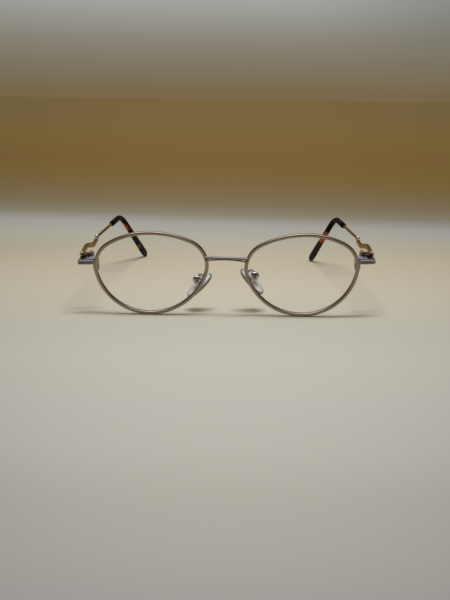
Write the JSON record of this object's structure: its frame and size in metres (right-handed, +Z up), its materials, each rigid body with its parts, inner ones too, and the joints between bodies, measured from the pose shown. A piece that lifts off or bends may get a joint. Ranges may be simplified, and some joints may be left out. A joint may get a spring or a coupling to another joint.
{
  "type": "broken eyeglasses",
  "caption": "Worn oval wire-rimmed eyeglasses with a bent front, clear lenses, nose pads and folding waved temples with tortoise tips.",
  "frame": {"origin": "middle of the part's own box in plan, on the table plane it stands on", "axes": "+Z up from the table, the front faces -Y, the temples run back along +Y, +X is the wearer's left"},
  "size_m": [0.1368, 0.137, 0.0399],
  "materials": {
    "rim_metal": "polished pale gold plating over nickel silver",
    "bright_metal": "polished silver",
    "bridge_metal": "polished rose silver",
    "temple_metal": "satin antique gold",
    "screw": "small plated screws",
    "lens": "clear, bare",
    "pad": "clear soft silicone",
    "tip": "dark tortoise, glossy"
  },
  "bodies": {
    "front": {"rim_left": "rim_metal", "lens_left": "lens", "lock_upper_left": "rim_metal", "lock_lower_left": "rim_metal", "lock_screw_left": "screw", "end_piece_left": "bright_metal", "hinge_front_left": "rim_metal", "hinge_screw_left": "screw", "pad_arm_left": "bright_metal", "pad_box_left": "bright_metal", "pad_screw_left": "screw", "rim_right": "rim_metal", "lens_right": "lens", "lock_upper_right": "rim_metal", "lock_lower_right": "rim_metal", "lock_screw_right": "screw", "end_piece_right": "bright_metal", "hinge_front_right": "rim_metal", "hinge_screw_right": "screw", "pad_arm_right": "bright_metal", "pad_box_right": "bright_metal", "pad_screw_right": "screw", "bridge_bar": "bridge_metal", "bridge_brace": "temple_metal"},
    "temple_left": {"hinge_temple_left": "temple_metal", "temple_left": "temple_metal", "tip_left": "tip", "bead_front_left": "bright_metal", "bead_rear_left": "bright_metal"},
    "temple_right": {"hinge_temple_right": "temple_metal", "temple_right": "temple_metal", "tip_right": "tip", "bead_front_right": "bright_metal", "bead_rear_right": "bright_metal"},
    "pad_left": {"pad_core_left": "bright_metal", "nose_pad_left": "pad"},
    "pad_right": {"pad_core_right": "bright_metal", "nose_pad_right": "pad"}
  },
  "joints": [
    {"name": "temple_left_fold", "type": "hinge", "parent": "front", "child": "temple_left", "pos_m": [0.06243, -0.05717, 0.02818], "axis": [0, 0, 1], "range_deg": [0, 85]},
    {"name": "temple_right_fold", "type": "hinge", "parent": "front", "child": "temple_right", "pos_m": [-0.06243, -0.05693, 0.02629], "axis": [0, 0, -1], "range_deg": [0, 77]},
    {"name": "pad_left_rock", "type": "hinge", "parent": "front", "child": "pad_left", "pos_m": [0.01326, -0.057, 0.0176], "axis": [0, 1, 0], "range_deg": [-8, 8]},
    {"name": "pad_right_rock", "type": "hinge", "parent": "front", "child": "pad_right", "pos_m": [-0.01354, -0.057, 0.0154], "axis": [0, 1, 0], "range_deg": [-8, 8]}
  ]
}
